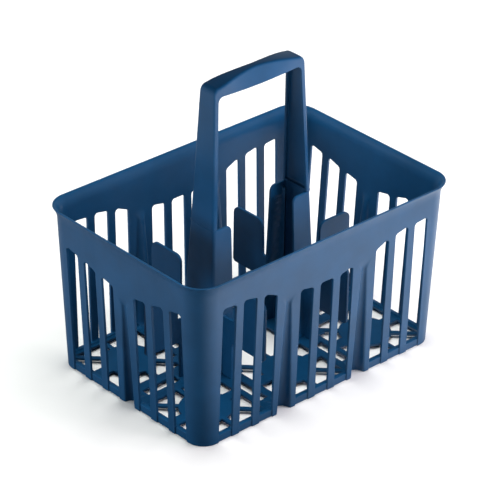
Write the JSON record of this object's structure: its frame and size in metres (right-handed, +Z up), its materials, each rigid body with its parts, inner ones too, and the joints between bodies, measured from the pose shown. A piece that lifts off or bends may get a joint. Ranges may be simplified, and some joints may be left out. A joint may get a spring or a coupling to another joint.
{
  "type": "cleaning caddy",
  "caption": "Slatted moulded carrying basket with bottle cells either side of a fixed arched central handle, held between clip-in dividers.",
  "frame": {"origin": "centre of the underside, on the surface the caddy stands on", "axes": "+X along the caddy, +Y across it, +Z up"},
  "size_m": [0.34, 0.233, 0.3205],
  "materials": {
    "navy_plastic": "satin"
  },
  "bodies": {
    "root": {"basket": "navy_plastic", "divider_left": "navy_plastic", "divider_right": "navy_plastic", "handle_bow": "navy_plastic"}
  },
  "joints": []
}
